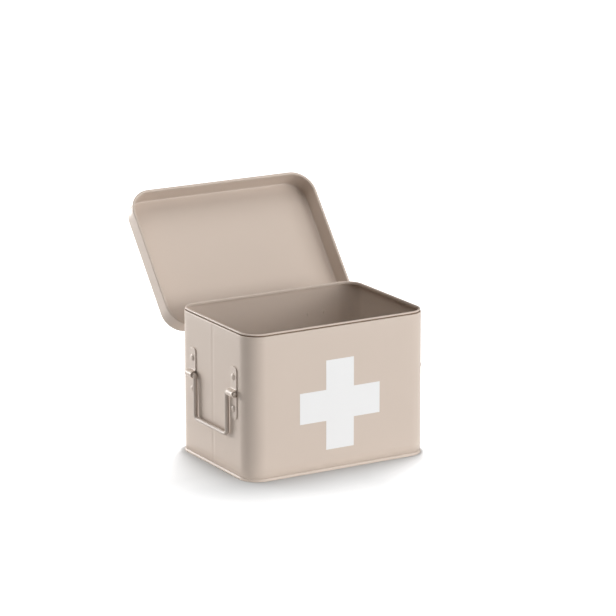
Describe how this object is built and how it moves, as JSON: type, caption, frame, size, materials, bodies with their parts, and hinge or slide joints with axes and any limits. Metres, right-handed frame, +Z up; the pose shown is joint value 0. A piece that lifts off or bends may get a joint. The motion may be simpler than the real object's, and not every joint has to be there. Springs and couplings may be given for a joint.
{
  "type": "medicine box",
  "caption": "Sheet steel medicine box with rounded corners, a cross on the front, a hinged slip-over lid standing open and a swinging bail handle on each side.",
  "frame": {"origin": "on the ground under the middle of the front wall's outer face, on the flat underside of the base's seam", "axes": "+X along the front to the viewer's right, +Y from the front to the hinged back, +Z up"},
  "size_m": [0.224, 0.2639, 0.2514],
  "materials": {
    "body_paint": "satin warm beige enamel",
    "cross_paint": "satin white enamel",
    "hinge_paint": "satin warm beige enamel",
    "bracket_paint": "satin warm beige enamel",
    "rivet_paint": "satin warm beige enamel",
    "bail_paint": "satin warm beige enamel"
  },
  "bodies": {
    "box": {"body_wall": "body_paint", "base_pan": "body_paint", "front_cross": "cross_paint", "left_hinge_body_leaf": "hinge_paint", "left_hinge_pin": "hinge_paint", "left_hinge_body_rivets": "rivet_paint", "left_front_bracket": "bracket_paint", "left_front_rivets": "rivet_paint", "left_rear_bracket": "bracket_paint", "left_rear_rivets": "rivet_paint", "right_hinge_body_leaf": "hinge_paint", "right_hinge_pin": "hinge_paint", "right_hinge_body_rivets": "rivet_paint", "right_front_bracket": "bracket_paint", "right_front_rivets": "rivet_paint", "right_rear_bracket": "bracket_paint", "right_rear_rivets": "rivet_paint"},
    "lid": {"lid_shell": "body_paint", "left_hinge_lid_leaf": "hinge_paint", "left_hinge_lid_rivets": "rivet_paint", "right_hinge_lid_leaf": "hinge_paint", "right_hinge_lid_rivets": "rivet_paint"},
    "left_handle": {"left_bail": "bail_paint"},
    "right_handle": {"right_bail": "bail_paint"}
  },
  "joints": [
    {"name": "lid_hinge", "type": "hinge", "parent": "box", "child": "lid", "pos_m": [0, 0.15025, 0.13148], "axis": [1, 0, 0], "range_deg": [0, 129.2]},
    {"name": "left_handle_pivot", "type": "hinge", "parent": "box", "child": "left_handle", "pos_m": [-0.1083, 0.07275, 0.088], "axis": [0, 1, 0], "range_deg": [-1, 170]},
    {"name": "right_handle_pivot", "type": "hinge", "parent": "box", "child": "right_handle", "pos_m": [0.1083, 0.07275, 0.088], "axis": [0, -1, 0], "range_deg": [-1, 170]}
  ]
}
